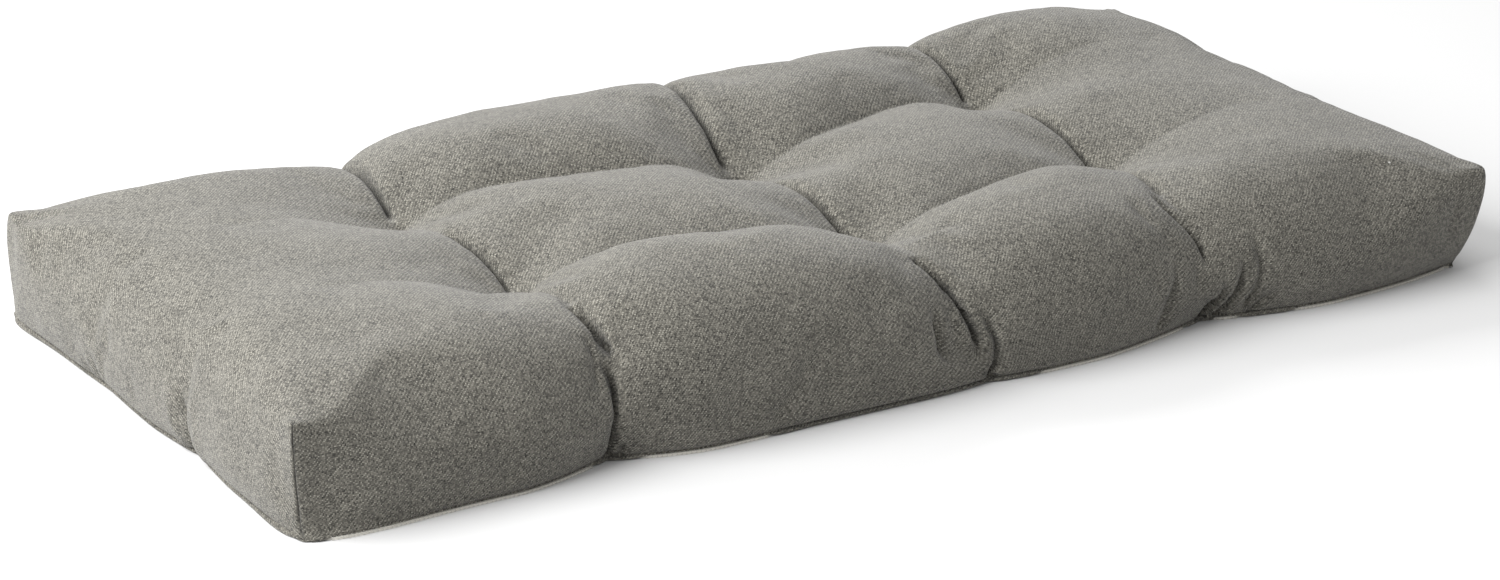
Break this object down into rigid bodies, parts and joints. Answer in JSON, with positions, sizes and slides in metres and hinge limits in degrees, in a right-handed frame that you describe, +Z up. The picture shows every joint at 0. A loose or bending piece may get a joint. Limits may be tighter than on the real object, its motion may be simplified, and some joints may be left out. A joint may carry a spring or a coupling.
{
  "type": "bench cushion",
  "caption": "Long tufted bench cushion with boxed sides, rounded pillows between pulled-down tufts and a flat underside.",
  "frame": {"origin": "on the surface the cushion lies on, under the middle of its bounding box", "axes": "+X along the length, +Y towards the back long side, +Z up through the tufted top"},
  "size_m": [0.9244, 0.441, 0.1091],
  "materials": {
    "upholstery_cloth": "matt heathered plain weave, warm grey",
    "backing_cloth": "matt pale backing cloth"
  },
  "bodies": {
    "root": {"cushion_body": "upholstery_cloth", "backing_panel": "backing_cloth"}
  },
  "joints": []
}
